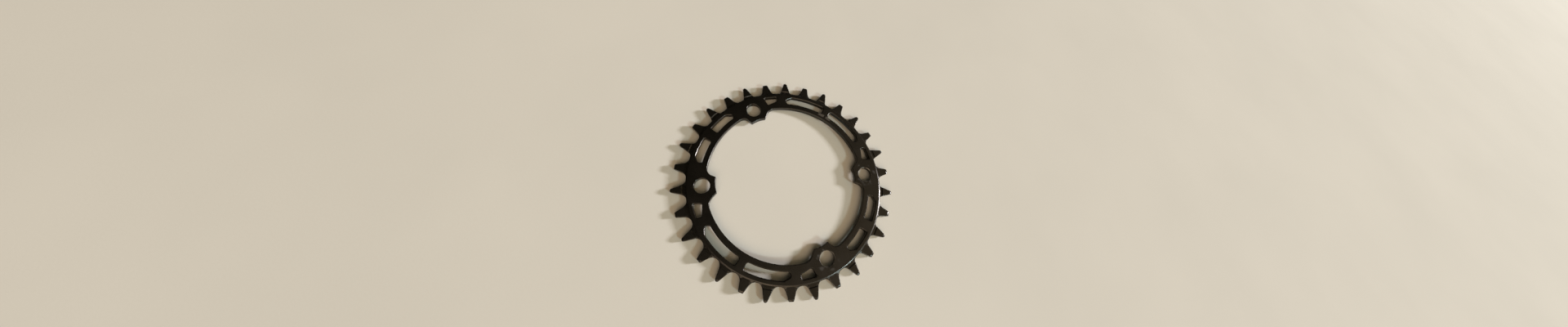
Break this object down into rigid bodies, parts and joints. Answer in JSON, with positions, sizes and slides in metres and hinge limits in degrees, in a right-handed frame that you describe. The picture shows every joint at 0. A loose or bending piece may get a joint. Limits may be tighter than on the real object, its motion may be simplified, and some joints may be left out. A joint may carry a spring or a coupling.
{
  "type": "bicycle chainring",
  "caption": "Narrow-wide single chainring: a flat windowed ring with four asymmetric bolt tabs and alternating wide and narrow teeth for half-inch chain.",
  "frame": {"origin": "on the ring's axis, in the plane of the bolt tabs' back face, which seats on the crank spider", "axes": "+Z along the ring's axis towards the outer face; +X through a wide tooth, midway between the two bolt holes of a close pair; +Y midway between the two close pairs"},
  "size_m": [0.1288, 0.1292, 0.0043],
  "materials": {
    "anodised_aluminium": "satin black anodised, machined"
  },
  "bodies": {
    "root": {"chainring": "anodised_aluminium"}
  },
  "joints": []
}
